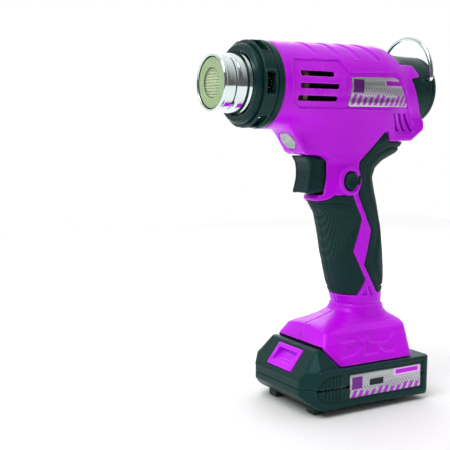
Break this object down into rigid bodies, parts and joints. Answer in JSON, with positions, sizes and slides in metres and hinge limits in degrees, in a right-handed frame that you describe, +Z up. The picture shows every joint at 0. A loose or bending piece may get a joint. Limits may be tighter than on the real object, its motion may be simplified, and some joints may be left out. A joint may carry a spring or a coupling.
{
  "type": "cordless heat gun",
  "caption": "Pistol-grip cordless heat gun: chromed nozzle in a vented collar, barrel with rear cap and wire hook, trigger, lock button, soft grips and a slide-on battery pack.",
  "frame": {"origin": "under the centre of the whole tool's bounding box, on the surface that the battery feet stand on", "axes": "-Y along the barrel towards the nozzle, +Z up along the handle, +X towards the tool's left side, where the lock button is"},
  "size_m": [0.0734, 0.171, 0.2554],
  "materials": {
    "housing_plastic": "satin, slightly shiny moulded plastic",
    "latch_plastic": "satin",
    "grip_rubber": "matt, fine cross-hatched",
    "foot_rubber": "matt",
    "black_plastic": "satin",
    "battery_plastic": "fine grain",
    "battery_plate": "satin",
    "chrome": "polished",
    "hook_wire": "polished",
    "steel": "brushed",
    "spring_steel": "drawn wire",
    "bronze": "sintered",
    "heating_wire": "oxidised wire",
    "ceramic": "matt, unglazed",
    "mica": "layered sheet",
    "circuit_board": "coated",
    "cell_wrap": "shrink sleeve",
    "lens": "clear, faceted",
    "side_plate": "printed plate"
  },
  "bodies": {
    "housing": {"collar": "black_plastic", "collar_guard": "steel", "control_board": "circuit_board", "grip_front_left": "grip_rubber", "grip_front_right": "grip_rubber", "grip_rear_left": "grip_rubber", "grip_rear_right": "grip_rubber", "heater_coil": "heating_wire", "heater_core": "mica", "heater_flange": "mica", "housing_left": "housing_plastic", "housing_right": "housing_plastic", "housing_screw_1": "steel", "housing_screw_2": "steel", "housing_screw_3": "steel", "housing_screw_4": "steel", "housing_screw_5": "steel", "light_board": "circuit_board", "light_lens": "lens", "lock_button_spring": "spring_steel", "mica_tube": "mica", "motor_bush": "bronze", "motor_can": "steel", "motor_mount": "black_plastic", "nozzle_tube": "chrome", "outlet_ceramic": "ceramic", "rear_cap": "black_plastic", "side_plate_left": "side_plate", "side_plate_right": "side_plate", "switch_body": "black_plastic", "terminal_block": "black_plastic", "trigger_spring": "spring_steel"},
    "trigger": {"trigger": "black_plastic"},
    "lock_button": {"lock_button": "black_plastic"},
    "hook": {"hanging_hook": "hook_wire"},
    "rotor": {"fan_impeller": "black_plastic", "motor_shaft": "steel"},
    "battery": {"battery_lower_case": "battery_plastic", "battery_upper_case": "battery_plastic", "battery_board": "circuit_board", "battery_plate_left": "battery_plate", "battery_plate_right": "battery_plate", "cell_strip_left": "steel", "cell_strip_right": "steel", "latch_spring": "spring_steel", "cell_1": "cell_wrap", "cell_2": "cell_wrap", "cell_3": "cell_wrap", "cell_4": "cell_wrap", "cell_5": "cell_wrap", "battery_foot_front_left": "foot_rubber", "battery_foot_front_right": "foot_rubber", "battery_foot_rear_left": "foot_rubber", "battery_foot_rear_right": "foot_rubber"},
    "latch": {"battery_latch": "latch_plastic"}
  },
  "joints": [
    {"name": "trigger_pull", "type": "slide", "parent": "housing", "child": "trigger", "axis": [0, 1, 0], "range_m": [0, 0.007], "stiffness_N_per_m": 700, "springref_m": -0.004, "deforming": ["trigger_spring"]},
    {"name": "lock_button_press", "type": "slide", "parent": "housing", "child": "lock_button", "axis": [-1, 0, 0], "range_m": [0, 0.003], "stiffness_N_per_m": 600, "springref_m": -0.002, "deforming": ["lock_button_spring"]},
    {"name": "hook_fold", "type": "hinge", "parent": "housing", "child": "hook", "pos_m": [0, 0.076, 0.224], "axis": [-1, 0, 0], "range_deg": [0, 90]},
    {"name": "rotor_spin", "type": "hinge", "parent": "housing", "child": "rotor", "pos_m": [0, -0.008, 0.2172], "axis": [0, -1, 0], "continuous": true},
    {"name": "battery_slide", "type": "slide", "parent": "housing", "child": "battery", "axis": [0, -1, 0], "range_m": [0, 0.08]},
    {"name": "latch_press", "type": "slide", "parent": "battery", "child": "latch", "axis": [0, 0.7882, -0.6155], "range_m": [0, 0.003], "stiffness_N_per_m": 600, "springref_m": -0.002, "deforming": ["latch_spring"]}
  ]
}
